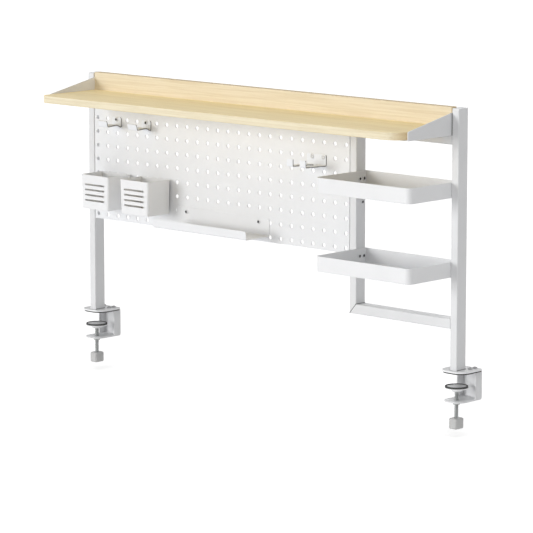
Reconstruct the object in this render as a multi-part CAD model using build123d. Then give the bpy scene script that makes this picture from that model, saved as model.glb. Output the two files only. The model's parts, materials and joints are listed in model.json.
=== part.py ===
from build123d import *
import os

# A clamp-on desk shelf: a steel frame on two desk clamps carries a wooden shelf, a pegboard with its
# hooks and cups, and two side trays. Millimetres, +X to the right, +Y to the back, +Z up. The origin
# lies on the desk top at its rear edge, midway between the clamps.

# Frame tubes: the posts' tube and the slightly taller one of both rails
overall_width = 1000.0
tube_width = 17.0
rail_height = 19.5
tube_depth = 27.5
tube_wall = 1.5
tube_corner = 2.0
tube_inner_corner = 0.5
post_front = -39.0
post_over_shelf = 34.5
middle_post_centre = 237.0
bottom_rail_under = 83.8
end_plate_thickness = 1.5

# Plastic plugs in the ends of the outer posts
cap_height = 12.0
cap_inset = 0.8
plug_clearance = 0.1
foot_insert_height = 20.0

# Shelf and back board
shelf_under = 453.5
board_thickness = 15.0
shelf_front = -191.0
shelf_left_corner = 16.0
shelf_right_corner = 38.0
board_edge_round = 1.0
back_board_height = 36.5
board_set_back = 1.0
back_board_screw_x = (-420.0, -210.0, 0.0, 210.0, 420.0)
rail_screw_x = (-390.0, -130.0, 130.0, 390.0)
rail_access_radius = 5.6

# Side brackets of the shelf
bracket_sheet = 2.0
bracket_front = -164.0
bracket_over_shelf = 25.5
bracket_flange = 22.0
bracket_nose = 3.0
bracket_rail_gap = 1.0
bracket_bolt_drop = 10.0
bracket_bolt_rise = 10.0
flange_screw_y = (-145.0, -75.0)

# Pegboard
peg_bottom = 200.0
peg_sheet = 2.0
peg_flange = 23.0
peg_pitch = 28.75
peg_columns = 25
peg_rows = 8
peg_hole = 8.0
peg_top_margin = 22.5
peg_side_gap = 1.5
peg_bolt_under_tray = 31.0
peg_bolt_y = -21.5
peg_rail_screw_x = (-260.0, 0.0, 190.0)

# Trays between the middle and the right post
tray_sheet = 1.5
tray_height = 30.0
tray_front = -158.75
tray_corner = 12.0
tray_base_round = 1.2
tray_rim_round = 0.5
upper_tray_under = 333.0
lower_tray_under = 182.0
tray_bolt_spread = 6.0

# Pen cups
cup_base_width = 77.6
cup_rim_width = 82.4
cup_base_depth = 61.9
cup_rim_depth = 62.5
cup_height = 70.3
cup_wall = 1.6
cup_floor = 2.0
cup_corner = 5.0
cup_rear_corner = 2.0
cup_base_round = 1.0
cup_rim_round = 0.5
cup_stand_off = 4.2
cup_row = 6
cup_columns = {"left": 3, "right": 7}
cup_over_screw = 32.9
slot_count = 4
slot_length = 57.5
slot_height = 3.8
slot_pitch = 10.8
slot_drop = 19.9
spacer_radius = 6.0

# Ledge
ledge_width = 258.0
ledge_centre_column = 13.5
ledge_screw_columns = (10, 17)
ledge_row = 7
ledge_depth = 69.0
ledge_lip = 18.0
ledge_back = 37.0
ledge_over_screw = 9.0
ledge_corner = 6.0
ledge_sheet = 1.5
ledge_bend = 3.0

# Key hooks
key_columns = {"left": 3, "right": 6}
key_row = 1
key_plate_width = 25.5
key_plate_height = 22.0
key_plate_corner = 4.5
key_over_screw = 5.0
key_crest_reach = 14.0
key_crest_rise = 6.2
key_crest_round = 12.0
key_reach = 40.0
key_floor_fall = 1.9
key_tip = 12.0
key_tip_lean = 3.5

# Headphone hook
phone_columns = (22, 23)
phone_row = 2
phone_shift = -3.7
phone_plate_width = 49.5
phone_plate_height = 22.8
phone_over_screw = 4.9
phone_gap = 18.0
phone_gap_round = 7.0
phone_reach = 60.0
phone_rise = 2.0
phone_tip = 16.5
hook_sheet = 2.0
hook_bend = 3.0
hook_corner = 2.5

# Small fasteners: M4 for the boards and accessories, M5 for the clamp plates
screw_radius = 2.0
bolt_radius = 2.5
hole_clearance = 0.2
pilot_clearance = 0.05
screw_head_radius = 4.6
screw_head = 1.8
bolt_head_radius = 4.8
bolt_head = 2.6
head_round_share = 0.6
nut_flange_radius = 6.0
nut_flange = 1.2
nut_across_flats = 7.0
nut_height = 3.4
thread_overrun = 1.0
cut_overrun = 1.0
length_tolerance = 0.001
wood_bite = 10.0
frame_bite = 4.0

# Desk clamps
plate_width = 62.0
plate_front = -49.5
plate_rear = 15.0
plate_thickness = 3.0
plate_front_corner = 24.0
plate_rear_corner = 8.0
pad_thickness = 2.5
pad_inset = 1.5
jaw_width = 47.0
jaw_sheet = 2.5
jaw_bend = 4.5
jaw_web_front = 16.4
jaw_flange_front = -12.0
jaw_floor_under = -55.5
jaw_floor_front = -48.5
jaw_floor_corner = 20.0
gusset_front = 0.0
plate_bolt_x = 15.0
plate_bolt_y = (-6.4, 7.4)
foot_screw_spread = 6.0
foot_screw_bite = 12.0
screw_y = -28.0

# Clamp screw with its pressing disc and its knob, shown on a desk of this thickness
desk_thickness = 25.0
disc_radius = 22.25
disc_rim_width = 3.0
disc_rim_height = 3.4
disc_rim_round = 0.75
disc_recess = 1.2
disc_sheet = 1.8
disc_under_radius = 15.0
hub_radius = 8.0
hub_height = 6.0
thread_radius = 4.0
running_fit = 0.05
collar_radius = 5.4
collar_height = 2.0
collar_play = 0.1
pocket_roof = 1.2
floor_hole_clearance = 0.6
weld_nut_radius = 7.0
weld_nut_height = 5.5
knob_top = -87.0
knob_width = 20.0
knob_depth = 25.0
knob_height = 21.0
knob_corner = 5.0
knob_round = 3.0
knob_grip = 13.0

# Places that follow from the sizes above
half_width = overall_width / 2
bay_half = half_width - tube_width
board_half = bay_half - bracket_sheet
post_y = post_front + tube_depth / 2
post_rear = post_front + tube_depth
board_front = post_front + board_set_back
board_rear = board_front + board_thickness
left_post_x = -half_width + tube_width / 2
right_post_x = half_width - tube_width / 2
middle_left = middle_post_centre - tube_width / 2
middle_right = middle_post_centre + tube_width / 2
rail_under = shelf_under - rail_height
shelf_top = shelf_under + board_thickness
post_top = shelf_top + post_over_shelf
bracket_top = shelf_top + bracket_over_shelf
peg_left = -bay_half + peg_side_gap
peg_right = middle_left - peg_side_gap
peg_width = peg_right - peg_left
peg_first_x = (peg_left + peg_right - (peg_columns - 1) * peg_pitch) / 2
peg_first_z = rail_under - peg_top_margin
peg_rear = board_front + peg_sheet
peg_bolt_height = upper_tray_under - peg_bolt_under_tray
foot_height = pad_thickness + plate_thickness
jaw_web_rear = jaw_web_front + jaw_sheet
bore = screw_radius + hole_clearance
pilot = screw_radius + pilot_clearance
clamp_posts = {"left": left_post_x, "right": right_post_x}
peg_flange_y = (peg_rear + board_front + peg_flange) / 2
flange_screw_x = bay_half - (bracket_flange + bracket_sheet) / 2
back_board_y = (board_front + board_rear) / 2
disc_top = -desk_thickness
disc_seat = disc_top - disc_rim_height
disc_under = disc_seat - disc_sheet
hub_under = disc_under - hub_height
collar_top = disc_seat - pocket_roof - collar_play

# Turns that point a screw's head, drawn upwards, along one of the axes
HEAD_TO = {
    "+x": Rot(0, 90, 0),
    "-x": Rot(0, -90, 0),
    "+y": Rot(-90, 0, 0),
    "-y": Rot(90, 0, 0),
    "+z": Rot(0, 0, 0),
    "-z": Rot(180, 0, 0),
}


def peg_x(column):
    """Centre of a pegboard column, counted from the left."""
    return peg_first_x + (column - 1) * peg_pitch


def peg_z(row):
    """Centre of a pegboard row, counted from the top."""
    return peg_first_z - (row - 1) * peg_pitch


def block(x, y, z):
    """A box between two values on each axis."""
    size = [high - low for low, high in (x, y, z)]
    centre = [(high + low) / 2 for low, high in (x, y, z)]
    return Pos(*centre) * Box(*size)


def rod(start, towards, length, radius):
    """A cylinder that leaves a point along an axis."""
    return Pos(*start) * HEAD_TO[towards] * Pos(0, 0, length / 2) * Cylinder(radius, length)


def xz_plate(sketch, front, rear):
    """A plate with a flat outline in x and z, between two y values."""
    return extrude(Plane.XZ.offset(-rear) * sketch, rear - front)


def yz_plate(face, low, high):
    """A plate with a flat outline in y and z, between two x values."""
    return extrude(Plane.YZ.offset(low) * face, high - low)


def outline(width, front, rear, front_corner, rear_corner=0.0):
    """A flat outline, symmetrical in x, with its own corner radii at the front and at the rear."""
    sheet = Pos(0, (front + rear) / 2) * Rectangle(width, rear - front)
    sheet = fillet(sheet.vertices().sort_by(Axis.Y)[:2], front_corner)
    if rear_corner > 0:
        sheet = fillet(sheet.vertices().sort_by(Axis.Y)[-2:], rear_corner)
    return sheet


def bent_sheet(outer, inner, bend, sheet):
    """The section of a sheet bent along its outer corners, with the same bends on its inner side."""
    return make_face(
        FilletPolyline(*outer, radius=bend)
        + FilletPolyline(*inner, radius=bend - sheet)
        + Line(outer[0], inner[0])
        + Line(outer[-1], inner[-1])
    )


def screw(seat, towards, length, radius=screw_radius, head_radius=screw_head_radius, head=screw_head):
    """A domed screw: its head lies on the seat and faces an axis, and its shank runs the other way."""
    shank = Pos(0, 0, -length / 2) * Cylinder(radius, length)
    dome = Pos(0, 0, head / 2) * Cylinder(head_radius, head)
    dome = fillet(dome.edges().sort_by(Axis.Z)[-1], head * head_round_share)
    return Pos(*seat) * HEAD_TO[towards] * (shank + dome)


def nut(seat, towards):
    """A flanged nut that stands on its seat and faces an axis."""
    flange = extrude(Circle(nut_flange_radius) - Circle(pilot), nut_flange)
    hexagon = RegularPolygon(nut_across_flats / 2, 6, major_radius=False) - Circle(pilot)
    return Pos(*seat) * HEAD_TO[towards] * (flange + extrude(hexagon, nut_height))


def peg_screw(column, row, grip):
    """A screw through something of that thickness on the pegboard, with room for its nut behind."""
    length = grip + peg_sheet + nut_height + thread_overrun
    return screw((peg_x(column), board_front - grip, peg_z(row)), "-y", length)


def peg_nut(column, row):
    return nut((peg_x(column), peg_rear, peg_z(row)), "+y")


def tube(length, width):
    """A length of frame tube that stands on z = 0, centred on the z axis."""
    outside = RectangleRounded(width, tube_depth, tube_corner)
    hollow = RectangleRounded(width - 2 * tube_wall, tube_depth - 2 * tube_wall, tube_inner_corner)
    return extrude(outside - hollow, length)


def post(x, low, high):
    return Pos(x, post_y, low) * tube(high - low, tube_width)


def rail(left, right, under):
    return Pos(left, post_y, under + rail_height / 2) * Rot(0, 90, 0) * tube(right - left, rail_height)


def tube_plug(x, low, high):
    """A plug that fills a post's hollow, with a small clearance all round."""
    width = tube_width - 2 * tube_wall - 2 * plug_clearance
    depth = tube_depth - 2 * tube_wall - 2 * plug_clearance
    return Pos(x, post_y, low) * extrude(RectangleRounded(width, depth, tube_inner_corner), high - low)


def foot_screw_places(x):
    return [(x, post_y + side * foot_screw_spread) for side in (-1, 1)]


def bracket_bolt_places():
    """Both bolts of a side bracket, as y and z, behind the back board."""
    y = (board_rear + post_rear) / 2
    return [(y, shelf_under + bracket_bolt_rise), (y, bracket_top - bracket_bolt_drop)]


def tray_bolt_places(under):
    return [(post_y + side * tray_bolt_spread, under + tray_height / 2) for side in (-1, 1)]


def make_outer_post(side):
    """An end post, with its holes for the side bracket and for the pegboard or the trays."""
    x = clamp_posts[side]
    inward = "+x" if side == "left" else "-x"
    body = post(x, foot_height, post_top)
    places = bracket_bolt_places()
    if side == "right":
        places += tray_bolt_places(upper_tray_under) + tray_bolt_places(lower_tray_under)
    else:
        body -= rod((x - tube_width, peg_bolt_y, peg_bolt_height), "+x", 2 * tube_width, bore)
    for y, z in places:
        body -= rod((x, y, z), inward, tube_width, pilot)
    return body


def mitre(above):
    """A wedge over or under the diagonal cut where the middle post meets the bottom rail."""
    left = middle_left - tube_width
    right = middle_right + tube_width
    low = bottom_rail_under - rail_height
    high = bottom_rail_under + 2 * rail_height
    corner = (left, high) if above else (right, low)
    wedge = make_face(Polyline((left, low), (right, high), corner, close=True))
    return xz_plate(wedge, post_front - cut_overrun, post_rear + cut_overrun)


def make_middle_post():
    body = post(middle_post_centre, bottom_rail_under, rail_under) - mitre(above=False)
    start = middle_left - tube_width
    body -= rod((start, peg_bolt_y, peg_bolt_height), "+x", 3 * tube_width, bore)
    for under in (upper_tray_under, lower_tray_under):
        for y, z in tray_bolt_places(under):
            body -= rod((middle_post_centre, y, z), "+x", tube_width, pilot)
    return body


def make_top_rail():
    """The rail under the shelf: the shelf's screws have access holes from below."""
    body = rail(-bay_half, bay_half, rail_under)
    for x in rail_screw_x:
        body -= rod((x, post_y, rail_under + rail_height / 2), "+z", rail_height, bore)
        body -= rod((x, post_y, rail_under + rail_height / 2), "-z", rail_height, rail_access_radius)
    for x in peg_rail_screw_x:
        body -= rod((x, peg_flange_y, rail_under + rail_height / 2), "-z", rail_height, pilot)
    return body


def make_bottom_rail():
    return rail(middle_left, bay_half - end_plate_thickness, bottom_rail_under) - mitre(above=True)


def make_end_plate():
    """The plate that closes the bottom rail against the right post."""
    plate = extrude(RectangleRounded(rail_height, tube_depth, tube_corner), end_plate_thickness)
    place = Pos(bay_half - end_plate_thickness, post_y, bottom_rail_under + rail_height / 2)
    return place * Rot(0, 90, 0) * plate


def shelf_outline():
    """The shelf's outline: its front corner on the left is tighter than the one on the right."""
    sheet = Pos(0, (shelf_front + board_rear) / 2) * Rectangle(2 * board_half, board_rear - shelf_front)
    sheet = fillet(sheet.vertices().sort_by(Axis.X)[:2].sort_by(Axis.Y)[0], shelf_left_corner)
    return fillet(sheet.vertices().sort_by(Axis.X)[-2:].sort_by(Axis.Y)[0], shelf_right_corner)


def make_shelf_board():
    board = extrude(Pos(0, 0, shelf_under) * shelf_outline(), board_thickness)
    rims = board.edges().group_by(Axis.Z)
    board = fillet(rims[-1].sort_by(Axis.Y)[:-1] + rims[0].sort_by(Axis.Y)[:-1], board_edge_round)
    for x in rail_screw_x:
        board -= rod((x, post_y, shelf_under), "+z", wood_bite, pilot)
    for side in (-1, 1):
        for y in flange_screw_y:
            board -= rod((side * flange_screw_x, y, shelf_under), "+z", wood_bite, pilot)
    for x in back_board_screw_x:
        board -= rod((x, back_board_y, shelf_under), "+z", board_thickness, bore)
        board -= rod((x, back_board_y, shelf_under), "+z", screw_head, screw_head_radius + hole_clearance)
    return board


def make_back_board():
    board = block(
        (-board_half, board_half), (board_front, board_rear), (shelf_top, shelf_top + back_board_height)
    )
    board = fillet(board.edges().group_by(Axis.Z)[-1], board_edge_round)
    for x in back_board_screw_x:
        board -= rod((x, back_board_y, shelf_top), "+z", wood_bite, pilot)
    return board


def make_shelf_screws():
    """Wood screws up into the shelf, from inside the top rail and from under the bracket flanges."""
    in_rail = [
        screw((x, post_y, shelf_under - tube_wall), "-z", tube_wall + wood_bite) for x in rail_screw_x
    ]
    in_flange = [
        screw((side * flange_screw_x, y, shelf_under - bracket_sheet), "-z", bracket_sheet + wood_bite)
        for side in (-1, 1)
        for y in flange_screw_y
    ]
    return in_rail + in_flange


def make_back_board_screws():
    length = board_thickness - screw_head + wood_bite
    return [screw((x, back_board_y, shelf_under + screw_head), "-z", length) for x in back_board_screw_x]


def make_shelf_bracket(side):
    """A bent sheet on the inner face of an end post, with a sloping front and a flange under the shelf."""
    low_y = bracket_front
    step_y = post_front - bracket_rail_gap
    flange_under = shelf_under - bracket_sheet
    face = make_face(
        Polyline(
            (low_y, flange_under),
            (low_y, shelf_top),
            (post_front, bracket_top),
            (post_rear, bracket_top),
            (post_rear, shelf_under),
            (step_y, shelf_under),
            (step_y, flange_under),
            close=True,
        )
    )
    nose = face.vertices().sort_by(Axis.X)[:2] + face.vertices().sort_by(Axis.Y)[-2:]
    sheet = yz_plate(fillet(nose, bracket_nose), board_half, bay_half)
    flange = block((bay_half - bracket_flange, bay_half), (low_y, step_y), (flange_under, shelf_under))
    flange = fillet(flange.edges().filter_by(Axis.Z).group_by(Axis.X)[0], bracket_nose)
    body = sheet + flange
    for y, z in bracket_bolt_places():
        body -= rod((board_half - cut_overrun, y, z), "+x", bracket_sheet + 2 * cut_overrun, bore)
    for y in flange_screw_y:
        body -= rod((flange_screw_x, y, flange_under - cut_overrun), "+z", bracket_sheet + cut_overrun, bore)
    return body if side == "right" else mirror(body, about=Plane.YZ)


def make_bracket_bolts():
    length = bracket_sheet + tube_wall + frame_bite
    return [screw((board_half, y, z), "-x", length) for y, z in bracket_bolt_places()] + [
        screw((-board_half, y, z), "+x", length) for y, z in bracket_bolt_places()
    ]


def make_pegboard():
    """A sheet with a grid of holes and a flange folded back along each side."""
    centre = Pos((peg_left + peg_right) / 2, (peg_bottom + rail_under) / 2)
    height = rail_under - peg_bottom
    places = [Pos(peg_x(c), peg_z(r)) for r in range(1, peg_rows + 1) for c in range(1, peg_columns + 1)]
    front = centre * Rectangle(peg_width, height) - [place * Circle(peg_hole / 2) for place in places]
    inside = centre * Rectangle(peg_width - 2 * peg_sheet, height - 2 * peg_sheet)
    body = xz_plate(front, board_front, peg_rear)
    body += xz_plate(centre * Rectangle(peg_width, height) - inside, board_front, board_front + peg_flange)
    start = -bay_half - tube_width
    body -= rod((start, peg_bolt_y, peg_bolt_height), "+x", peg_width + 2 * tube_width, bore)
    for x in peg_rail_screw_x:
        body -= rod((x, peg_flange_y, rail_under - 2 * peg_sheet), "+z", 3 * peg_sheet, bore)
    return body


def make_pegboard_bolts():
    """A bolt through each post beside the pegboard, and screws up into the top rail."""
    length = tube_width + peg_side_gap + peg_sheet + nut_height + thread_overrun
    through = [
        screw((-half_width, peg_bolt_y, peg_bolt_height), "-x", length),
        screw((middle_right, peg_bolt_y, peg_bolt_height), "+x", length),
    ]
    into_rail = peg_sheet + tube_wall + frame_bite
    return through + [
        screw((x, peg_flange_y, rail_under - peg_sheet), "-z", into_rail) for x in peg_rail_screw_x
    ]


def make_pegboard_nuts():
    return [
        nut((peg_left + peg_sheet, peg_bolt_y, peg_bolt_height), "+x"),
        nut((peg_right - peg_sheet, peg_bolt_y, peg_bolt_height), "-x"),
    ]


def make_tray(under):
    """An open sheet tray between the middle and the right post, with rounded front corners."""
    centre = (middle_right + bay_half) / 2
    width = bay_half - middle_right
    outside = outline(width, tray_front, post_rear, tray_corner)
    hollow = outline(
        width - 2 * tray_sheet, tray_front + tray_sheet, post_rear - tray_sheet, tray_corner - tray_sheet
    )
    body = extrude(outside, tray_height)
    body = fillet(body.edges().group_by(Axis.Z)[0].sort_by(Axis.Y)[:-1], tray_base_round)
    body -= Pos(0, 0, tray_sheet) * extrude(hollow, tray_height)
    body = fillet(body.edges().group_by(Axis.Z)[-1], tray_rim_round)
    body = Pos(centre, 0, under) * body
    for y, z in tray_bolt_places(under):
        body -= rod((middle_right - cut_overrun, y, z), "+x", width + 2 * cut_overrun, bore)
    return body


def make_tray_bolts():
    length = tray_sheet + tube_wall + frame_bite
    bolts = []
    for under in (upper_tray_under, lower_tray_under):
        for y, z in tray_bolt_places(under):
            bolts.append(screw((middle_right + tray_sheet, y, z), "+x", length))
            bolts.append(screw((bay_half - tray_sheet, y, z), "-x", length))
    return bolts


def cup_screw_columns(column):
    return (column - 1, column + 1)


def cup_shape(inset):
    """The cup's body, wider at the rim than at the base, with every wall moved inwards by the inset."""
    rear = board_front - cup_stand_off - inset
    levels = [(0, cup_base_width, cup_base_depth), (cup_height, cup_rim_width, cup_rim_depth)]
    return loft(
        [
            Pos(0, 0, z)
            * outline(
                width - 2 * inset, rear - depth + 2 * inset, rear, cup_corner - inset, cup_rear_corner - inset
            )
            for z, width, depth in levels
        ],
        ruled=True,
    )


def make_pen_cup(column):
    """A cup with slots in its front, held off the pegboard on two spacers."""
    rear = board_front - cup_stand_off
    front = rear - cup_rim_depth
    top = peg_z(cup_row) + cup_over_screw
    body = cup_shape(0)
    body = fillet(body.edges().group_by(Axis.Z)[0], cup_base_round)
    body -= split(cup_shape(cup_wall), bisect_by=Plane.XY.offset(cup_floor), keep=Keep.TOP)
    body = fillet(body.edges().group_by(Axis.Z)[-1], cup_rim_round)
    body = Pos(peg_x(column), 0, top - cup_height) * body
    for number in range(slot_count):
        z = top - slot_drop - number * slot_pitch
        slot = Pos(peg_x(column), z) * SlotOverall(slot_length, slot_height)
        body -= xz_plate(slot, front - cup_wall, front + 2 * cup_wall)
    for c in cup_screw_columns(column):
        body -= rod((peg_x(c), rear + cut_overrun, peg_z(cup_row)), "-y", cup_wall + 2 * cut_overrun, bore)
    return body


def cup_fastener_columns():
    return [c for column in cup_columns.values() for c in cup_screw_columns(column)]


def make_cup_spacers():
    return [
        rod((peg_x(c), board_front, peg_z(cup_row)), "-y", cup_stand_off, spacer_radius)
        - rod((peg_x(c), board_front, peg_z(cup_row)), "-y", cup_stand_off, bore)
        for c in cup_fastener_columns()
    ]


def make_ledge():
    """A bent sheet: a back plate on the pegboard, a floor and a low front lip, with open ends."""
    top = peg_z(ledge_row) + ledge_over_screw
    under = top - ledge_back
    front = board_front - ledge_depth
    outer = [(board_front, top), (board_front, under), (front, under), (front, under + ledge_lip)]
    inner = [
        (board_front - ledge_sheet, top),
        (board_front - ledge_sheet, under + ledge_sheet),
        (front + ledge_sheet, under + ledge_sheet),
        (front + ledge_sheet, under + ledge_lip),
    ]
    middle = peg_x(ledge_centre_column)
    body = yz_plate(
        bent_sheet(outer, inner, ledge_bend, ledge_sheet), middle - ledge_width / 2, middle + ledge_width / 2
    )
    corners = body.edges().filter_by(Axis.Y).group_by(Axis.Z)
    body = fillet(corners[-1] + corners[-2], ledge_corner)
    for column in ledge_screw_columns:
        start = (peg_x(column), board_front + cut_overrun, peg_z(ledge_row))
        body -= rod(start, "-y", ledge_sheet + 2 * cut_overrun, bore)
    return body


def hook_bore(column, row):
    """The hole for a hook's screw, right through the hook's plate."""
    return rod(
        (peg_x(column), board_front + cut_overrun, peg_z(row)), "-y", hook_sheet + 2 * cut_overrun, bore
    )


def make_key_hook(column):
    """A small plate whose sheet turns up into a crowned floor and ends in a low lip that leans out."""
    half = hook_sheet / 2
    top = peg_z(key_row) + key_over_screw
    fold = top - key_plate_height + half
    crest = fold + key_crest_rise
    tip_root = crest - key_floor_fall
    middle_line = [
        (board_front - half, top),
        (board_front - half, fold),
        (board_front - key_crest_reach, crest),
        (board_front - key_reach + half, tip_root),
        (board_front - key_reach + half - key_tip_lean, tip_root + key_tip),
    ]
    section = trace(FilletPolyline(*middle_line, radius=[hook_sheet, key_crest_round, hook_sheet]), hook_sheet)
    body = yz_plate(section, peg_x(column) - key_plate_width / 2, peg_x(column) + key_plate_width / 2)
    corners = body.edges().filter_by(lambda edge: abs(edge.length - hook_sheet) < length_tolerance)
    body = fillet(corners.group_by(Axis.Z)[-1], key_plate_corner)
    corners = body.edges().filter_by(lambda edge: abs(edge.length - hook_sheet) < length_tolerance)
    body = fillet(corners.group_by(Axis.Y)[0], hook_corner)
    return body - hook_bore(column, key_row)


def make_headphone_hook():
    """A plate with a screw at each side, and two long arms that turn up at their tips."""
    centre = (peg_x(phone_columns[0]) + peg_x(phone_columns[1])) / 2 + phone_shift
    top = peg_z(phone_row) + phone_over_screw
    under = top - phone_plate_height
    front = board_front - phone_reach
    outer = [(board_front, top), (board_front, under), (front, under + phone_rise), (front, under + phone_tip)]
    inner = [
        (board_front - hook_sheet, top),
        (board_front - hook_sheet, under + hook_sheet),
        (front + hook_sheet, under + phone_rise + hook_sheet),
        (front + hook_sheet, under + phone_tip),
    ]
    section = bent_sheet(outer, inner, hook_bend, hook_sheet)
    body = yz_plate(section, centre - phone_plate_width / 2, centre + phone_plate_width / 2)
    corners = body.edges().filter_by(Axis.Y).group_by(Axis.Z)
    body = fillet(corners[-1] + corners[-2], hook_corner)
    notch = block(
        (centre - phone_gap / 2, centre + phone_gap / 2),
        (front - cut_overrun, board_front - hook_sheet - hook_bend),
        (under - cut_overrun, top),
    )
    body -= fillet(notch.edges().filter_by(Axis.Z).group_by(Axis.Y)[-1], phone_gap_round)
    for column in phone_columns:
        body -= hook_bore(column, phone_row)
    return body


def make_accessory_nuts():
    """The nuts behind the pegboard for the cups, the ledge and the hooks."""
    places = [(c, cup_row) for c in cup_fastener_columns()]
    places += [(c, ledge_row) for c in ledge_screw_columns]
    places += [(c, key_row) for c in key_columns.values()]
    places += [(c, phone_row) for c in phone_columns]
    return [peg_nut(column, row) for column, row in places]


def make_clamp_plate(x):
    """The plate on the desk top that the post stands on."""
    sheet = outline(plate_width, plate_front, plate_rear, plate_front_corner, plate_rear_corner)
    body = Pos(x, 0, pad_thickness) * extrude(sheet, plate_thickness)
    for side in (-1, 1):
        for y in plate_bolt_y:
            body -= rod((x + side * plate_bolt_x, y, 0), "+z", 2 * foot_height, bolt_radius + hole_clearance)
    for place in foot_screw_places(x):
        body -= rod((*place, 0), "+z", 2 * foot_height, bore)
    return body


def make_clamp_bracket(x):
    """A bent sheet: a flange under the plate, a web with gussets behind the desk, and a floor below it."""
    outer = [
        (jaw_flange_front, pad_thickness),
        (jaw_web_rear, pad_thickness),
        (jaw_web_rear, jaw_floor_under),
        (jaw_floor_front, jaw_floor_under),
    ]
    inner = [
        (jaw_flange_front, pad_thickness - jaw_sheet),
        (jaw_web_front, pad_thickness - jaw_sheet),
        (jaw_web_front, jaw_floor_under + jaw_sheet),
        (jaw_floor_front, jaw_floor_under + jaw_sheet),
    ]
    body = yz_plate(bent_sheet(outer, inner, jaw_bend, jaw_sheet), -jaw_width / 2, jaw_width / 2)
    body &= Pos(0, 0, jaw_floor_under) * extrude(
        outline(jaw_width, jaw_floor_front, jaw_web_rear, jaw_floor_corner), pad_thickness - jaw_floor_under
    )
    for side in (-1, 1):
        faces = sorted((side * jaw_width / 2, side * (jaw_width / 2 - jaw_sheet)))
        body += block(
            faces, (gusset_front, jaw_web_front), (jaw_floor_under + jaw_sheet, pad_thickness - jaw_sheet)
        )
        for y in plate_bolt_y:
            body -= rod((side * plate_bolt_x, y, -jaw_sheet), "+z", 3 * jaw_sheet, bolt_radius + pilot_clearance)
    body -= rod((0, screw_y, jaw_floor_under), "+z", jaw_sheet, thread_radius + floor_hole_clearance)
    return Pos(x, 0, 0) * body


def make_weld_nut(x):
    """The threaded nut under the bracket's floor, with the screw's running fit."""
    start = (x, screw_y, jaw_floor_under)
    return rod(start, "-z", weld_nut_height, weld_nut_radius) - rod(
        start, "-z", weld_nut_height, thread_radius + running_fit
    )


def make_plate_bolts(x):
    length = foot_height - hole_clearance
    return [
        screw((x + side * plate_bolt_x, y, foot_height), "+z", length, bolt_radius, bolt_head_radius, bolt_head)
        for side in (-1, 1)
        for y in plate_bolt_y
    ]


def make_desk_pad(x):
    """The rubber pad between the plate and the desk top, in front of the bracket's flange and beside it."""
    sheet = outline(
        plate_width - 2 * pad_inset,
        plate_front + pad_inset,
        plate_rear - pad_inset,
        plate_front_corner - pad_inset,
        plate_rear_corner - pad_inset,
    )
    flange_reach = plate_rear - jaw_flange_front + hole_clearance
    sheet -= Pos(0, plate_rear - flange_reach / 2) * Rectangle(jaw_width + 2 * hole_clearance, flange_reach)
    body = Pos(x, 0, 0) * extrude(sheet, pad_thickness)
    for place in foot_screw_places(x):
        body -= rod((*place, 0), "+z", pad_thickness, screw_head_radius + hole_clearance)
    return body


def make_foot_insert(x):
    body = tube_plug(x, foot_height, foot_height + foot_insert_height)
    for place in foot_screw_places(x):
        body -= rod((*place, foot_height), "+z", foot_screw_bite, pilot)
    return body


def make_foot_screws(x):
    length = plate_thickness + foot_screw_bite
    return [screw((*place, pad_thickness), "-z", length) for place in foot_screw_places(x)]


def make_clamp_disc(x):
    """The dish that presses on the desk's underside, with a pocket in its hub for the screw's collar."""
    raised = disc_rim_height - disc_recess
    inside_rim = disc_radius - disc_rim_width - pilot_clearance
    body = Pos(0, 0, disc_under + disc_sheet / 2) * Cylinder(disc_radius, disc_sheet)
    body += Pos(0, 0, disc_seat + raised / 2) * Cylinder(inside_rim, raised)
    body += Pos(0, 0, disc_under - hub_height / 2) * Cone(hub_radius, disc_under_radius, hub_height)
    pocket_top = collar_top + collar_play
    pocket = collar_height + 2 * collar_play
    body -= Pos(0, 0, pocket_top - pocket / 2) * Cylinder(collar_radius + running_fit, pocket)
    body -= rod((0, 0, hub_under), "+z", pocket_top - pocket / 2 - hub_under, thread_radius + running_fit)
    return Pos(x, screw_y, 0) * body


def make_disc_ring(x):
    ring = Cylinder(disc_radius, disc_rim_height) - Cylinder(disc_radius - disc_rim_width, disc_rim_height)
    ring = fillet(ring.edges().group_by(Axis.Z)[-1], disc_rim_round)
    return Pos(x, screw_y, disc_seat + disc_rim_height / 2) * ring


def make_clamp_screw(x):
    """The clamp's screw, from the collar inside the disc's hub down into its knob."""
    tip = knob_top - knob_grip
    body = rod((x, screw_y, tip), "+z", collar_top - tip, thread_radius)
    return body + rod((x, screw_y, collar_top), "-z", collar_height, collar_radius)


def make_clamp_knob(x):
    body = extrude(RectangleRounded(knob_width, knob_depth, knob_corner), knob_height)
    rims = body.edges().group_by(Axis.Z)
    body = Pos(x, screw_y, knob_top - knob_height) * fillet(rims[0] + rims[-1], knob_round)
    return body - rod((x, screw_y, knob_top), "-z", knob_grip, thread_radius)


def save(name, *solids):
    """Writes one sub-part, with each of its loose pieces as a solid of its own."""
    pieces = [solid for shape in solids for solid in shape.solids()]
    whole = pieces[0] if len(pieces) == 1 else Compound(children=pieces)
    export_step(whole, f"parts/{name}.step")


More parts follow.
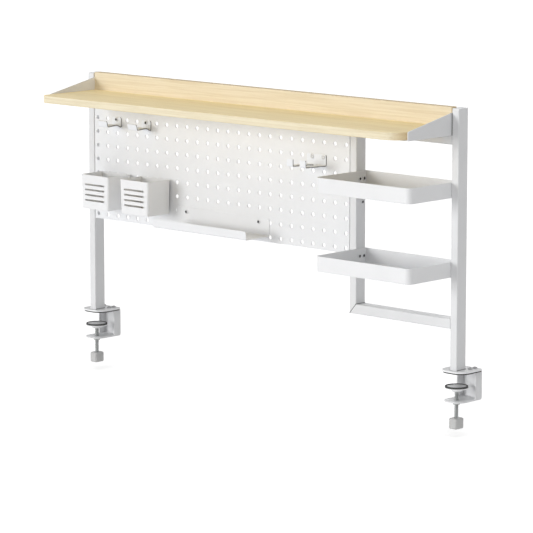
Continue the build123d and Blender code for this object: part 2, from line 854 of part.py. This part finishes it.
os.makedirs("parts", exist_ok=True)
for side in ("left", "right"):
    save(f"{side}_post", make_outer_post(side))
    save(f"{side}_post_cap", tube_plug(clamp_posts[side], post_top - cap_inset - cap_height, post_top - cap_inset))
    save(f"{side}_shelf_bracket", make_shelf_bracket(side))
    save(f"{side}_pen_cup", make_pen_cup(cup_columns[side]))
    save(f"{side}_key_hook", make_key_hook(key_columns[side]))
save("middle_post", make_middle_post())
save("top_rail", make_top_rail())
save("bottom_rail", make_bottom_rail())
save("bottom_rail_end_plate", make_end_plate())
save("shelf_board", make_shelf_board())
save("back_board", make_back_board())
save("shelf_screws", *make_shelf_screws())
save("back_board_screws", *make_back_board_screws())
save("bracket_bolts", *make_bracket_bolts())
save("pegboard", make_pegboard())
save("pegboard_bolts", *make_pegboard_bolts())
save("pegboard_nuts", *make_pegboard_nuts())
save("upper_tray", make_tray(upper_tray_under))
save("lower_tray", make_tray(lower_tray_under))
save("tray_bolts", *make_tray_bolts())
save("cup_spacers", *make_cup_spacers())
save("cup_screws", *[peg_screw(c, cup_row, cup_stand_off + cup_wall) for c in cup_fastener_columns()])
save("ledge", make_ledge())
save("ledge_screws", *[peg_screw(c, ledge_row, ledge_sheet) for c in ledge_screw_columns])
save("key_hook_screws", *[peg_screw(c, key_row, hook_sheet) for c in key_columns.values()])
save("headphone_hook", make_headphone_hook())
save("headphone_hook_screws", *[peg_screw(c, phone_row, hook_sheet) for c in phone_columns])
save("accessory_nuts", *make_accessory_nuts())
for side, x in clamp_posts.items():
    save(f"{side}_clamp_plate", make_clamp_plate(x))
    save(f"{side}_clamp_bracket", make_clamp_bracket(x))
    save(f"{side}_weld_nut", make_weld_nut(x))
    save(f"{side}_plate_bolts", *make_plate_bolts(x))
    save(f"{side}_desk_pad", make_desk_pad(x))
    save(f"{side}_foot_insert", make_foot_insert(x))
    save(f"{side}_foot_screws", *make_foot_screws(x))
    save(f"{side}_clamp_disc", make_clamp_disc(x))
    save(f"{side}_disc_ring", make_disc_ring(x))
    save(f"{side}_clamp_screw", make_clamp_screw(x))
    save(f"{side}_clamp_knob", make_clamp_knob(x))
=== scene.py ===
import json
import math

import bmesh
import bpy
from mathutils import Matrix, Vector


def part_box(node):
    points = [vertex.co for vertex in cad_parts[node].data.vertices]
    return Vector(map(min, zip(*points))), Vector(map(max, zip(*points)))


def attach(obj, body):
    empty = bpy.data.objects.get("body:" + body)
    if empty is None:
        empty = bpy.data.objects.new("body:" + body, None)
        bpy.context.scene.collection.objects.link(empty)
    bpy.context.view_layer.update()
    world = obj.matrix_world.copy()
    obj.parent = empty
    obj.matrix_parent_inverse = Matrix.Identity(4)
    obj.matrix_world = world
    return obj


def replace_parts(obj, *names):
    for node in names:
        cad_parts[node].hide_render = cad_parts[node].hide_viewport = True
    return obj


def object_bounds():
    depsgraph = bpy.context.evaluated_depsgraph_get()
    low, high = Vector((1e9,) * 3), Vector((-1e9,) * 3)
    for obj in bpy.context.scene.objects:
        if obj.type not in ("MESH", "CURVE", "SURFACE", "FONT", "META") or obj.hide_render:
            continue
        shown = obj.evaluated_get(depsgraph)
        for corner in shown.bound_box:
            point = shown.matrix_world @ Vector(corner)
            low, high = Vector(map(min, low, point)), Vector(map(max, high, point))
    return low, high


# The looks of a clamp-on desk shelf. Metres, in the frame of the CAD model: +X right, +Y to the
# back, +Z up, with the origin on the desk top at its rear edge.

SIDES = ("left", "right")

# Camera, fitted to the hole grid of the pegboard in a square picture. Angles in degrees, lens and
# sensor in millimetres.
CAMERA_PLACE = (4.2628, -4.5713, 1.1579)
CAMERA_PITCH = 9.2
CAMERA_YAW = 43.19
CAMERA_LENS = 214.3
SENSOR_WIDTH = 36.0
CLIP_END = 100.0

# Soft lamps: a name, the way the light travels, its strength and its width in degrees
LAMPS = (
    ("front", (0.40, 0.90, -0.12), 1.62, 24),
    ("top", (-0.15, 0.20, -0.95), 0.97, 50),
    ("side", (-0.93, 0.35, -0.10), 0.31, 50),
    ("back", (0.25, -0.95, -0.12), 0.8, 50),
)
AMBIENT = 0.33

# The floor lies under the knobs, which sink this far when the clamps open
OPENING_TRAVEL = 0.0165
FLOOR_GAP = 0.0002
FLOOR_SIZE = 60.0
FLOOR_TONE = 0.86
FLOOR_ROUGHNESS = 0.9
FLOOR_GLOW = 0.5

# Clamp screws: an M8 thread that ends in the smooth neck of a collar inside the pressing disc
THREAD_PITCH = 0.00125
THREAD_DEPTH = 0.00062
THREAD_LAYERS = 4
THREAD_NECK = 0.0008
COLLAR_HEIGHT = 0.002

# Every turned piece has this many sides, a multiple of the six of a socket
SIDES_AROUND = 24

# Edges of new pieces that turn by more than this, in radians, stay sharp
SHARP_ANGLE = 0.6

# Points nearer than the first are one point, and points nearer than the second to an end are on it
SAME_POINT = 1e-6
AT_END = 1e-5

# Screws: the tip's radius and length in shares of the shank's radius
TIP_RADIUS = 0.8
TIP_LENGTH = 0.2

# Screw heads: radii in shares of the head's radius, heights in shares of its height, and the mouth in
# shares of the socket's own radius. Points of the CAD head that are further out than RIM lie on its
# rim.
RIM = 0.98
FOOT_RADIUS = 0.97
FOOT_HEIGHT = 0.1
DOME_STEPS = 5
DOME_START = 0.35
DOME_NARROWING = 0.42
SOCKET_APOTHEM = 0.52
SOCKET_DEPTH = 0.72
SOCKET_MOUTH = 1.08
SOCKET_BEVEL = 0.94

# Dark seams, all near-black painted shade: on both faces of the mitre of the middle post and the
# bottom rail, along a real ground weld, and in the mitre's inner corner; at the joint between each
# side bracket and its post; and along the sides of each side post's foot. The mitre's face seams
# stand out from their face by SEAM_SHOWS. So do the bracket seams beside their post, and their
# centre lies that far behind its front. The corner shade and the foot seams are centred on an edge.
SEAM_RADIUS = 0.001
SEAM_SHOWS = 0.0003
SEAM_SIDES = 10

SOCKET_SCREWS = (
    "shelf_screws",
    "back_board_screws",
    "bracket_bolts",
    "pegboard_bolts",
    "tray_bolts",
    "cup_screws",
    "ledge_screws",
    "key_hook_screws",
    "headphone_hook_screws",
    "left_plate_bolts",
    "right_plate_bolts",
    "left_foot_screws",
    "right_foot_screws",
)

# Screws whose sockets are painted over
PAINTED_SCREWS = ("headphone_hook_screws",)

# Nodes that look different from the rest of their slot, by the end of their names
LOOKS = (
    ("back_board", "board_wood_shaded_edges"),
    ("knob", "grey_plastic"),
    ("hook", "hook_coat_shaded_ends"),
    ("clamp_disc", "disc_coat_painted_light"),
    ("clamp_plate", "plate_coat_shaded_level_faces"),
    ("plate_bolts", "bolt_coat"),
    ("pegboard", "board_coat"),
    ("ledge", "board_coat"),
    ("tray", "sheet_coat"),
)

WHITE = (1.0, 1.0, 1.0)

# White coats: tone to either side of the mean, and how much blue they have beyond the mean
COAT_UNEVENNESS = 0.015
COAT_COOLNESS = 0.012

# A face takes another tone as it turns to an axis, from the first part of its normal along that axis
# to the second. On the white coats that other tone is painted shade.
PAINTED_SHADE_TURN = (0.25, 0.45)
WOOD_FLAT_TURN = (0.35, 0.65)
WOOD_END_TURN = (0.4, 0.95)

# Wood: the broad figure's darkest and palest parts in shares of its tone, the most that the palest
# gets, the colours of streaks and pores with their shares, and the rings of the end grain
FIGURE_DARK = (0.955, 0.93, 0.86)
FIGURE_PALE = (1.03, 1.045, 1.10)
PALEST = 0.98
STREAK = (0.86, 0.82, 0.74)
STREAK_SHARE = 0.8
PORE = (0.84, 0.78, 0.68)
PORE_SHARE = 0.5
RING_DARK = (0.76, 0.57, 0.30)
RING_PALE = (0.84, 0.67, 0.40)

# Rubber: its tone, the share that its paler grain gets, and its roughness. Zinc: its dark and pale.
RUBBER_TONE = 0.045
RUBBER_PALER = 1.35
RUBBER_ROUGHNESS = 0.72
ZINC_DARK = (0.26, 0.27, 0.265)
ZINC_PALE = (0.36, 0.37, 0.37)

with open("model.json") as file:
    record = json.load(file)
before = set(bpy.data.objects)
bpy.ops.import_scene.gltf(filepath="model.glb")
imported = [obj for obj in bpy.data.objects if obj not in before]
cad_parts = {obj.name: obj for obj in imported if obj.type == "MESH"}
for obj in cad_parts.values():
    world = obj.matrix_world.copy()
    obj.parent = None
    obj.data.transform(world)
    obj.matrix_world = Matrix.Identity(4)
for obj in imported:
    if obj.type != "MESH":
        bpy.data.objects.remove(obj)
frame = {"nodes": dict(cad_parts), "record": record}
cad_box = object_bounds()
nodes = frame["nodes"]
slots = {part["node"]: part["material_slot"] for part in frame["record"]["subparts"]}
bodies = frame["record"]["behaviour"]["bodies"]


def new_material(name):
    """A new material, its node tree and its shader."""
    material = bpy.data.materials.new(name)
    material.use_nodes = True
    return material, material.node_tree, material.node_tree.nodes["Principled BSDF"]


def add(tree, kind, **inputs):
    """A new shader node, with values for its input sockets by name."""
    node = tree.nodes.new(kind)
    for socket, value in inputs.items():
        node.inputs[socket.replace("_", " ")].default_value = value
    return node


def calculate(tree, operation, *values):
    """The result of a calculation on the outputs of other nodes."""
    node = tree.nodes.new("ShaderNodeMath")
    node.operation = operation
    for index, value in enumerate(values):
        tree.links.new(value, node.inputs[index])
    return node.outputs[0]


def noise(tree, per_metre, detail=3.0, roughness=0.5, distortion=0.0):
    """Noise in object coordinates, with so many patches to a metre along each axis."""
    source = tree.nodes.new("ShaderNodeTexCoord")
    mapping = add(tree, "ShaderNodeMapping", Scale=per_metre)
    tree.links.new(source.outputs["Object"], mapping.inputs["Vector"])
    node = add(
        tree,
        "ShaderNodeTexNoise",
        Scale=1.0,
        Detail=detail,
        Roughness=roughness,
        Distortion=distortion,
    )
    tree.links.new(mapping.outputs["Vector"], node.inputs["Vector"])
    return node.outputs["Fac"]


def even_noise(tree, per_metre, detail):
    """Noise with patches of the same size along each axis."""
    return noise(tree, (per_metre, per_metre, per_metre), detail)


def ramp(tree, value, *stops):
    """A colour ramp over a value, from pairs of a place and a colour."""
    node = tree.nodes.new("ShaderNodeValToRGB")
    band = node.color_ramp
    while len(band.elements) < len(stops):
        band.elements.new(0.5)
    for element, (place, colour) in zip(band.elements, stops):
        element.position = place
        element.color = (*colour, 1.0)
    tree.links.new(value, node.inputs["Fac"])
    return node.outputs["Color"]


def spread(tree, value, low, high):
    """A value of 0 to 1 moved to another range."""
    node = add(tree, "ShaderNodeMapRange", To_Min=low, To_Max=high)
    tree.links.new(value, node.inputs["Value"])
    return node.outputs["Result"]


def facing(tree, axis, turn):
    """One where the surface faces along an axis, either way, and zero where it turns less."""
    source = tree.nodes.new("ShaderNodeTexCoord")
    split = tree.nodes.new("ShaderNodeSeparateXYZ")
    tree.links.new(source.outputs["Normal"], split.inputs["Vector"])
    node = add(tree, "ShaderNodeMapRange", From_Min=turn[0], From_Max=turn[1])
    tree.links.new(calculate(tree, "ABSOLUTE", split.outputs[axis]), node.inputs["Value"])
    return node.outputs["Result"]


def mix_colours(tree, amount, first, second, kind="MIX"):
    """Two colours mixed by an amount. Each may be a value or the output of a node."""
    node = tree.nodes.new("ShaderNodeMix")
    node.data_type = "RGBA"
    node.blend_type = kind
    for socket, value in (("Factor", amount), ("A", first), ("B", second)):
        target = [s for s in node.inputs if s.name == socket and s.enabled][0]
        if isinstance(value, bpy.types.NodeSocket):
            tree.links.new(value, target)
        else:
            target.default_value = value
    return [s for s in node.outputs if s.enabled][0]


def bump(tree, shader, height, depth, strength):
    """Fine relief from a height of 0 to 1."""
    node = add(tree, "ShaderNodeBump", Strength=strength, Distance=depth)
    tree.links.new(height, node.inputs["Height"])
    tree.links.new(node.outputs["Normal"], shader.inputs["Normal"])


def cool_white(tone, cool):
    """A white with a share of coolness: less red and more blue."""
    return (tone * (1 - cool / 2), tone, tone * (1 + cool))


def powder_coat(name, tone, cool=COAT_COOLNESS, painted_shade_axis=None, painted_shade_tone=None):
    """Satin powder coat: fine orange peel, faint unevenness and, if given, painted shade: another
    tone on the faces turned along one axis.
    """
    material, tree, shader = new_material(name)
    colour = ramp(
        tree,
        even_noise(tree, per_metre=14, detail=4),
        (0.3, cool_white(tone - COAT_UNEVENNESS, cool)),
        (0.7, cool_white(tone + COAT_UNEVENNESS, cool)),
    )
    # Painted shade: faces turned along the given axis take the other tone
    if painted_shade_axis is not None:
        other = (*cool_white(painted_shade_tone, cool), 1.0)
        colour = mix_colours(tree, facing(tree, painted_shade_axis, PAINTED_SHADE_TURN), colour, other)
    tree.links.new(colour, shader.inputs["Base Color"])
    rough = spread(tree, even_noise(tree, per_metre=60, detail=3), low=0.36, high=0.46)
    tree.links.new(rough, shader.inputs["Roughness"])
    peel = even_noise(tree, per_metre=900, detail=2)
    bump(tree, shader, peel, depth=0.00006, strength=0.35)
    return material


def wood(name, tone, edge_tone):
    """Pale wood with its grain along X, in one tone on level faces and in another on its edges."""
    material, tree, shader = new_material(name)
    low = tuple(value * share for value, share in zip(tone, FIGURE_DARK))
    high = tuple(min(value * share, PALEST) for value, share in zip(tone, FIGURE_PALE))
    figure = noise(tree, per_metre=(2, 30, 30), detail=4, roughness=0.55, distortion=0.6)
    broad = ramp(tree, figure, (0.3, low), (0.5, tone), (0.7, high))
    body = mix_colours(tree, facing(tree, "Z", WOOD_FLAT_TURN), (*edge_tone, 1.0), broad)
    streaks = noise(tree, per_metre=(6, 230, 230), detail=5, roughness=0.6, distortion=0.3)
    fine = ramp(tree, streaks, (0.34, STREAK), (0.58, WHITE))
    toned = mix_colours(tree, STREAK_SHARE, body, fine, kind="MULTIPLY")
    pores = noise(tree, per_metre=(60, 1500, 1500), detail=2, roughness=0.6)
    dots = ramp(tree, pores, (0.28, PORE), (0.42, WHITE))
    lined = mix_colours(tree, PORE_SHARE, toned, dots, kind="MULTIPLY")
    growth = noise(tree, per_metre=(1, 90, 420), detail=3, roughness=0.6, distortion=0.8)
    rings = ramp(tree, growth, (0.35, RING_DARK), (0.65, RING_PALE))
    colour = mix_colours(tree, facing(tree, "X", WOOD_END_TURN), lined, rings)
    tree.links.new(colour, shader.inputs["Base Color"])
    tree.links.new(spread(tree, streaks, low=0.42, high=0.56), shader.inputs["Roughness"])
    bump(tree, shader, streaks, depth=0.00008, strength=0.4)
    return material


def rubber(name):
    """Matt rubber with a faint grain."""
    material, tree, shader = new_material(name)
    dark = (RUBBER_TONE,) * 3
    paler = (RUBBER_TONE * RUBBER_PALER,) * 3
    grain = even_noise(tree, per_metre=120, detail=3)
    colour = ramp(tree, grain, (0.35, dark), (0.7, paler))
    tree.links.new(colour, shader.inputs["Base Color"])
    shader.inputs["Roughness"].default_value = RUBBER_ROUGHNESS
    relief = even_noise(tree, per_metre=1500, detail=2)
    bump(tree, shader, relief, depth=0.00005, strength=0.4)
    return material


def zinc(name):
    """Zinc plate with a fine brushed tone."""
    material, tree, shader = new_material(name)
    brushed = noise(tree, per_metre=(300, 300, 60), detail=3)
    colour = ramp(tree, brushed, (0.3, ZINC_DARK), (0.7, ZINC_PALE))
    tree.links.new(colour, shader.inputs["Base Color"])
    shader.inputs["Metallic"].default_value = 1.0
    rough = spread(tree, even_noise(tree, per_metre=500, detail=2), low=0.30, high=0.44)
    tree.links.new(rough, shader.inputs["Roughness"])
    return material


def plastic(name, low, high):
    """Moulded plastic with a fine satin texture."""
    material, tree, shader = new_material(name)
    colour = ramp(tree, even_noise(tree, per_metre=30, detail=3), (0.3, low), (0.7, high))
    tree.links.new(colour, shader.inputs["Base Color"])
    rough = spread(tree, even_noise(tree, per_metre=200, detail=2), low=0.42, high=0.52)
    tree.links.new(rough, shader.inputs["Roughness"])
    relief = even_noise(tree, per_metre=2200, detail=2)
    bump(tree, shader, relief, depth=0.00003, strength=0.4)
    return material


materials = {
    "white_powder_coat": powder_coat("white_powder_coat", tone=0.80),
    "sheet_coat": powder_coat("white_sheet_coat", tone=0.88),
    "board_coat": powder_coat("white_board_coat", tone=0.88, cool=0.02),
    # The hooks' ends, facing along X, take a tone of 0.26: painted shade. The rest is a lighter,
    # cooler white, partly painted light against shade and warm bounce on the plates.
    "hook_coat_shaded_ends": powder_coat(
        "white_hook_coat",
        tone=0.93,
        cool=0.05,
        painted_shade_axis="X",
        painted_shade_tone=0.26,
    ),
    # The clamp plates' level faces take painted shade, 0.62 against 0.94 on their rims.
    "plate_coat_shaded_level_faces": powder_coat("white_plate_coat", tone=0.94, painted_shade_axis="Z", painted_shade_tone=0.62),
    "bolt_coat": powder_coat("grey_bolt_coat", tone=0.46),
    # A lighter copy of the white coat for the clamp discs: painted light against the plate's shadow
    # over them.
    "disc_coat_painted_light": powder_coat("white_disc_coat", tone=0.95),
    "pale_wood": wood("pale_wood", tone=(0.87, 0.715, 0.39), edge_tone=(0.88, 0.79, 0.58)),
    # The back board's level faces, its top and bottom edges, take a dark wood tone: painted shade
    # along them.
    "board_wood_shaded_edges": wood("pale_board_wood", tone=(0.50, 0.39, 0.21), edge_tone=(0.86, 0.76, 0.57)),
    "dark_rubber": rubber("dark_rubber"),
    "zinc_steel": zinc("zinc_steel"),
    # The sockets: bare steel, darkened to near-black as painted shade in the recess.
    "socket": plastic("socket_shade", low=(0.035, 0.035, 0.037), high=(0.06, 0.06, 0.062)),
    # The seams: near-black painted shade in joints and corners.
    "seam": plastic("seam_shade", low=(0.10, 0.10, 0.10), high=(0.15, 0.15, 0.15)),
    "white_plastic": plastic("white_plastic", low=(0.89, 0.895, 0.905), high=(0.915, 0.92, 0.93)),
    "grey_plastic": plastic("grey_plastic", low=(0.53, 0.53, 0.525), high=(0.59, 0.59, 0.585)),
}


def look_of(node):
    """The material of a CAD node: a variant by the end of its name, or else its slot's own."""
    for ending, look in LOOKS:
        if node.endswith(ending):
            return materials[look]
    return materials[slots[node]]


def new_piece(name, shape, node, look=None):
    """A mesh piece on the body of a CAD node, with that node's look or another."""
    for face in shape.faces:
        face.smooth = True
    for edge in shape.edges:
        edge.smooth = edge.is_manifold and edge.calc_face_angle() < SHARP_ANGLE
    data = bpy.data.meshes.new(name)
    shape.to_mesh(data)
    shape.free()
    data.materials.append(look or look_of(node))
    piece = bpy.data.objects.new(name, data)
    bpy.context.scene.collection.objects.link(piece)
    body = [body for body, members in bodies.items() if node in members][0]
    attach(piece, body)
    return piece


def round_ring(radius):
    """The same radius at each step round a ring."""
    return [radius] * SIDES_AROUND


def hexagon_ring(apothem):
    """The radius of a hexagon at each step round it."""
    sixth = math.pi / 3
    angles = [2 * math.pi * step / SIDES_AROUND for step in range(SIDES_AROUND)]
    return [apothem / math.cos((angle % sixth) - sixth / 2) for angle in angles]


def add_turned(shape, place, axis, sense, rings, dark_from=None):
    """Adds a turned solid: rings of radii along one axis from a place, closed at both ends.

    From the ring with the index dark_from, its faces have the second material.
    """
    rows = []
    for radii, along in rings:
        row = []
        for step, radius in enumerate(radii):
            angle = 2 * math.pi * step / SIDES_AROUND
            point = [0.0, 0.0, 0.0]
            point[axis] = place[axis] + sense * along
            point[(axis + 1) % 3] = place[(axis + 1) % 3] + radius * math.cos(angle)
            point[(axis + 2) % 3] = place[(axis + 2) % 3] + radius * math.sin(angle) * sense
            row.append(shape.verts.new(point))
        rows.append(row)
    for index, (lower, upper) in enumerate(zip(rows, rows[1:])):
        for step in range(SIDES_AROUND):
            after = (step + 1) % SIDES_AROUND
            face = shape.faces.new((lower[step], lower[after], upper[after], upper[step]))
            face.material_index = 1 if dark_from is not None and index >= dark_from else 0
    shape.faces.new(list(reversed(rows[0])))
    end = shape.faces.new(rows[-1])
    end.material_index = 0 if dark_from is None else 1


def loose_pieces(node):
    """The points of each loose piece of a node's mesh, where points in one place count as one."""
    shape = bmesh.new()
    shape.from_mesh(nodes[node].data)
    bmesh.ops.remove_doubles(shape, verts=shape.verts, dist=SAME_POINT)
    pieces = []
    seen = set()
    for start in shape.verts:
        if start in seen:
            continue
        seen.add(start)
        waiting = [start]
        points = []
        while waiting:
            vertex = waiting.pop()
            points.append(vertex.co.copy())
            for edge in vertex.link_edges:
                other = edge.other_vert(vertex)
                if other not in seen:
                    seen.add(other)
                    waiting.append(other)
        pieces.append(points)
    shape.free()
    return pieces


def screw_shape(points):
    """The axis of a screw, the side its head faces, the place of its seat and its four sizes.

    The sizes are the shank's length and radius and the head's radius and height.
    """
    low = [min(point[i] for point in points) for i in range(3)]
    high = [max(point[i] for point in points) for i in range(3)]
    size = [b - a for a, b in zip(low, high)]
    axis = min(range(3), key=lambda i: abs(size[(i + 1) % 3] - size[(i + 2) % 3]))
    centre = [(a + b) / 2 for a, b in zip(low, high)]
    head = size[(axis + 1) % 3] / 2

    def off_axis(point):
        return math.hypot(*(point[(axis + i) % 3] - centre[(axis + i) % 3] for i in (1, 2)))

    rim = [point[axis] for point in points if off_axis(point) > RIM * head]
    sense = 1 if sum(rim) / len(rim) > centre[axis] else -1
    seat = min(rim) if sense > 0 else max(rim)
    tip, top = (low[axis], high[axis]) if sense > 0 else (high[axis], low[axis])
    shank = max(off_axis(point) for point in points if abs(point[axis] - tip) < AT_END)
    place = list(centre)
    place[axis] = seat
    return axis, sense, place, abs(seat - tip), shank, head, abs(top - seat)


def socket_screws(node):
    """Screws with domed heads and hexagonal sockets, in the places and sizes of a node's own."""
    shape = bmesh.new()
    for points in loose_pieces(node):
        axis, sense, place, length, shank, head, height = screw_shape(points)
        rings = [
            (round_ring(shank * TIP_RADIUS), -length),
            (round_ring(shank), -length + TIP_LENGTH * shank),
            (round_ring(shank), 0.0),
            (round_ring(head * FOOT_RADIUS), 0.0),
            (round_ring(head), FOOT_HEIGHT * height),
        ]
        for step in range(DOME_STEPS + 1):
            turn = math.pi / 2 * step / DOME_STEPS
            radius = head * (1 - DOME_NARROWING * (1 - math.cos(turn)))
            along = height * (DOME_START + (1 - DOME_START) * math.sin(turn))
            rings.append((round_ring(radius), along))
        dark_from = len(rings)
        flat = hexagon_ring(SOCKET_APOTHEM * head)
        rings += [
            ([radius * SOCKET_MOUTH for radius in flat], height),
            (flat, height * SOCKET_BEVEL),
            (flat, height * (1 - SOCKET_DEPTH)),
        ]
        add_turned(shape, place, axis, sense, rings, dark_from)
    piece = new_piece(f"{node}_detail", shape, node)
    # Socket faces take near-black painted shade, or the sheet coat where the socket is painted over.
    piece.data.materials.append(materials["sheet_coat" if node in PAINTED_SCREWS else "socket"])
    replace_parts(piece, node)


def clamp_screw(node):
    """The clamp's screw: a right-hand thread, a smooth neck and the collar in the disc's hub."""
    low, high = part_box(node)
    place = ((low.x + high.x) / 2, (low.y + high.y) / 2, low.z)
    collar = (high.x - low.x) / 2
    start = high.z - low.z - COLLAR_HEIGHT
    tip = [point for point in loose_pieces(node)[0] if point.z < low.z + AT_END]
    crest = max(math.hypot(point.x - place[0], point.y - place[1]) for point in tip)
    neck = crest - THREAD_DEPTH
    layers = int((start - THREAD_NECK) / THREAD_PITCH * THREAD_LAYERS)
    rings = []
    for layer in range(layers + 1):
        along = (start - THREAD_NECK) * layer / layers
        turns = [along / THREAD_PITCH - step / SIDES_AROUND for step in range(SIDES_AROUND)]
        cuts = [THREAD_DEPTH * (0.5 - 0.5 * math.cos(2 * math.pi * turn)) for turn in turns]
        rings.append(([crest - cut for cut in cuts], along))
    rings += [
        (round_ring(neck), start - THREAD_NECK / 2),
        (round_ring(neck), start),
        (round_ring(collar), start),
        (round_ring(collar), start + COLLAR_HEIGHT),
    ]
    shape = bmesh.new()
    add_turned(shape, place, 2, 1, rings)
    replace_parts(new_piece(f"{node}_thread", shape, node), node)


def seam(name, node, start, end):
    """A thin round strip of near-black painted shade between two points, on the body of a node."""
    shape = bmesh.new()
    start = Vector(start)
    end = Vector(end)
    along = end - start
    turn = along.to_track_quat("Z", "Y").to_matrix().to_4x4()
    bmesh.ops.create_cone(
        shape,
        cap_ends=True,
        segments=SEAM_SIDES,
        radius1=SEAM_RADIUS,
        radius2=SEAM_RADIUS,
        depth=along.length,
        matrix=Matrix.Translation((start + end) / 2) @ turn,
    )
    new_piece(name, shape, node, materials["seam"])


def mitre_seams():
    """The mitre's joint line on both faces and the shade in its inner corner, as strips of painted
    shade.
    """
    low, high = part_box("middle_post")
    rail_low, rail_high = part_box("bottom_rail")
    sunk = SEAM_RADIUS - SEAM_SHOWS
    inner_z = rail_high.z
    for face, y in (("front", low.y + sunk), ("rear", high.y - sunk)):
        outer = (low.x + sunk, y, rail_low.z + sunk)
        seam(f"mitre_seam_{face}", "middle_post", outer, (high.x, y, inner_z))
    front = low.y + 2 * sunk
    rear = high.y - 2 * sunk
    seam("mitre_corner_shade", "middle_post", (high.x, front, inner_z), (high.x, rear, inner_z))


def side_seams(side):
    """Strips of painted shade at the joint of a side's shelf bracket with its post and along the two
    sides of the post's foot.
    """
    low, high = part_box(f"{side}_post")
    bracket_low, bracket_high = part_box(f"{side}_shelf_bracket")
    sunk = SEAM_RADIUS - SEAM_SHOWS
    x = high.x - sunk if side == "left" else low.x + sunk
    y = low.y + SEAM_SHOWS
    ends = ((x, y, bracket_low.z), (x, y, bracket_high.z))
    seam(f"{side}_bracket_seam", f"{side}_shelf_bracket", *ends)
    front = low.y + 2 * sunk
    rear = high.y - 2 * sunk
    for end, x in (("left", low.x), ("right", high.x)):
        seam(f"{side}_foot_seam_{end}", f"{side}_post", (x, front, low.z), (x, rear, low.z))


def add_lamp(name, direction, strength, width):
    """A soft sun whose light travels in a direction."""
    light = bpy.data.lights.new(name, "SUN")
    light.energy = strength
    light.angle = math.radians(width)
    lamp = bpy.data.objects.new(name, light)
    lamp.rotation_euler = Vector(direction).to_track_quat("-Z", "Y").to_euler()
    bpy.context.scene.collection.objects.link(lamp)


def set_camera():
    """The camera at the photograph's viewing angle."""
    data = bpy.data.cameras.new("camera")
    data.lens = CAMERA_LENS
    data.sensor_width = SENSOR_WIDTH
    data.clip_end = CLIP_END
    camera = bpy.data.objects.new("camera", data)
    camera.location = CAMERA_PLACE
    camera.rotation_euler = (math.radians(90 - CAMERA_PITCH), 0.0, math.radians(CAMERA_YAW))
    bpy.context.scene.collection.objects.link(camera)
    bpy.context.scene.camera = camera


def seen_directly(tree):
    """One for rays from the camera, off gloss and through glass, and zero for the light's own."""
    path = tree.nodes.new("ShaderNodeLightPath")
    camera = path.outputs["Is Camera Ray"]
    gloss = calculate(tree, "MAXIMUM", camera, path.outputs["Is Glossy Ray"])
    return calculate(tree, "MAXIMUM", gloss, path.outputs["Is Transmission Ray"])


def set_world():
    """A world that looks white and lights the object at the ambient level."""
    world = bpy.data.worlds.new("studio")
    world.use_nodes = True
    tree = world.node_tree
    shader = tree.nodes["Background"]
    shader.inputs["Color"].default_value = (*WHITE, 1.0)
    strength = spread(tree, seen_directly(tree), AMBIENT, 1.0)
    tree.links.new(strength, shader.inputs["Strength"])
    bpy.context.scene.world = world


def make_floor(height):
    """A pale floor that looks white where it is lit and keeps the object's shadow."""
    bpy.ops.mesh.primitive_plane_add(size=FLOOR_SIZE, location=(0.0, 0.0, height))
    floor = bpy.context.object
    floor.name = "floor"
    material, tree, shader = new_material("pale_floor")
    shader.inputs["Base Color"].default_value = (FLOOR_TONE, FLOOR_TONE, FLOOR_TONE, 1.0)
    shader.inputs["Roughness"].default_value = FLOOR_ROUGHNESS
    shader.inputs["Specular IOR Level"].default_value = 0.0
    shader.inputs["Emission Color"].default_value = (*WHITE, 1.0)
    glow = spread(tree, seen_directly(tree), 0.0, FLOOR_GLOW)
    tree.links.new(glow, shader.inputs["Emission Strength"])
    floor.data.materials.append(material)


for node in slots:
    nodes[node].data.materials.clear()
    nodes[node].data.materials.append(look_of(node))
for node in SOCKET_SCREWS:
    socket_screws(node)
for side in SIDES:
    clamp_screw(f"{side}_clamp_screw")
mitre_seams()
for side in SIDES:
    side_seams(side)

set_camera()
set_world()
for lamp in LAMPS:
    add_lamp(*lamp)
make_floor(cad_box[0][2] - OPENING_TRAVEL - FLOOR_GAP)

scene = bpy.context.scene
scene.view_settings.view_transform = "Standard"
